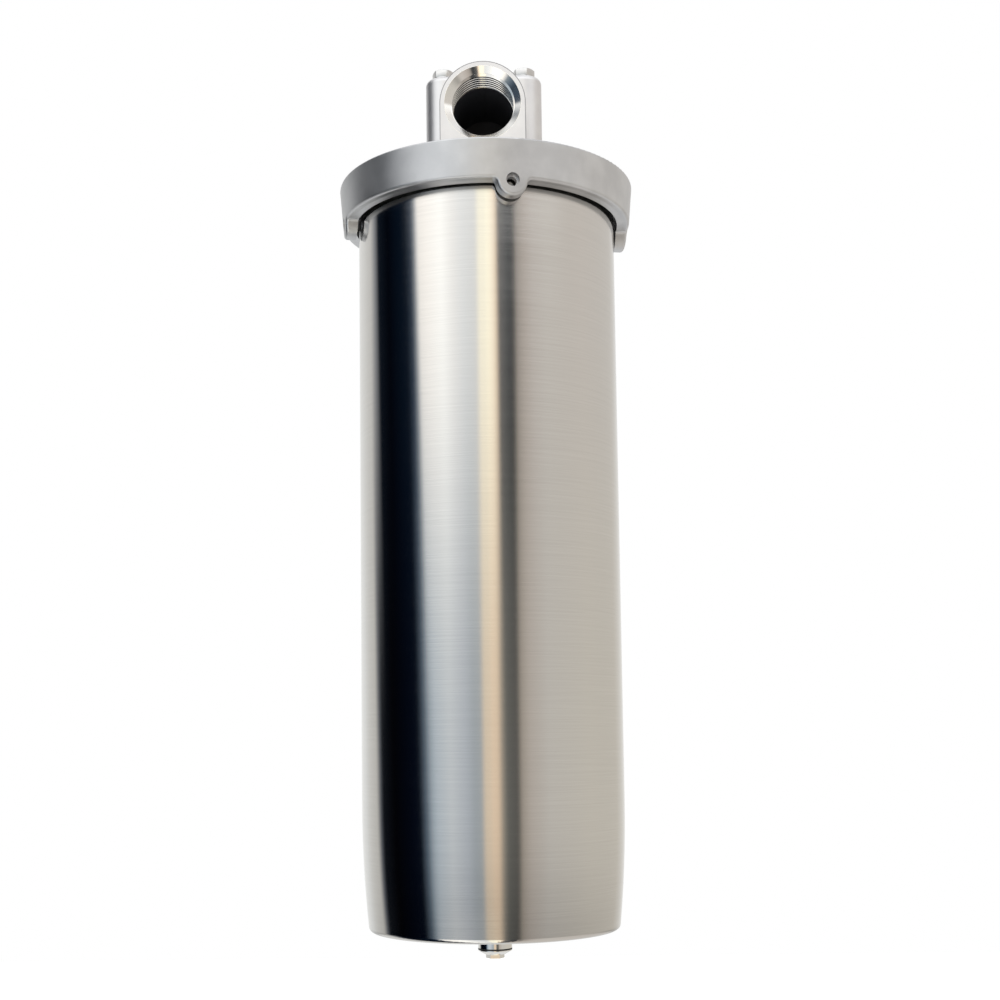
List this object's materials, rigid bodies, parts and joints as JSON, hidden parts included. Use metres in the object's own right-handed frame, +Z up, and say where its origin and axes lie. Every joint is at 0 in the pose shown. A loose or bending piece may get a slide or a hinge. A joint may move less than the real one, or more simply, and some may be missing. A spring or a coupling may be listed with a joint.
{
  "type": "bag filter housing",
  "caption": "In-line bag filter housing with a cast head, union ring nut, long brushed sump, inner basket and drain plug.",
  "frame": {"origin": "on the sump's axis at the tip of the drain plug, the lowest point", "axes": "+Z up along the sump's axis towards the head; +Y along the pipe line from inlet to outlet; +X to the right seen from the inlet"},
  "size_m": [0.1524, 0.1524, 0.4527],
  "materials": {
    "cast_steel": "bead blasted",
    "brushed_steel": "brushed",
    "bright_steel": "polished",
    "fastener_steel": "plain",
    "basket_steel": "plain",
    "seal_rubber": "matt",
    "slip_plastic": "matt",
    "bag_felt": "needled felt",
    "bag_plastic": "moulded"
  },
  "bodies": {
    "head": {"head_casting": "cast_steel", "head_o_ring": "seal_rubber", "spigot_o_ring": "seal_rubber", "bracket_bolt_front_left": "fastener_steel", "bracket_bolt_front_right": "fastener_steel", "bracket_bolt_rear_left": "fastener_steel", "bracket_bolt_rear_right": "fastener_steel", "bracket_washer_front_left": "fastener_steel", "bracket_washer_front_right": "fastener_steel", "bracket_washer_rear_left": "fastener_steel", "bracket_washer_rear_right": "fastener_steel"},
    "sump": {"sump_shell": "brushed_steel", "sump_flange": "bright_steel", "sump_end_cap": "brushed_steel", "drain_socket": "bright_steel", "basket_seat_ring": "bright_steel", "basket_rim": "basket_steel", "basket_wall": "basket_steel", "basket_bottom": "basket_steel", "filter_bag": "bag_felt", "bag_ring": "bag_plastic", "bag_cover_plate": "basket_steel"},
    "slip_ring": {"slip_washer": "slip_plastic"},
    "ring": {"ring_nut": "cast_steel"},
    "drain_seal": {"drain_gasket": "seal_rubber"},
    "drain_screw": {"drain_plug": "bright_steel"}
  },
  "joints": [
    {"name": "sump_drop", "type": "slide", "parent": "head", "child": "sump", "axis": [0, 0, -1], "range_m": [0, 0.4]},
    {"name": "ring_drop", "type": "slide", "parent": "sump", "child": "slip_ring", "axis": [0, 0, -1], "range_m": [0, 0.012]},
    {"name": "ring_turn", "type": "hinge", "parent": "slip_ring", "child": "ring", "pos_m": [0, 0, 0.384], "axis": [0, 0, -1], "range_deg": [0, 1440]},
    {"name": "drain_drop", "type": "slide", "parent": "sump", "child": "drain_seal", "axis": [0, 0, -1], "range_m": [0, 0.0107]},
    {"name": "drain_turn", "type": "hinge", "parent": "drain_seal", "child": "drain_screw", "pos_m": [0, 0, 0.01], "axis": [0, 0, -1], "range_deg": [0, 2880]}
  ],
  "couplings": [
    {"joint": "ring_drop", "follows": "ring_turn", "m_per_rad": 0.000477},
    {"joint": "drain_drop", "follows": "drain_turn", "m_per_rad": 0.000212}
  ]
}
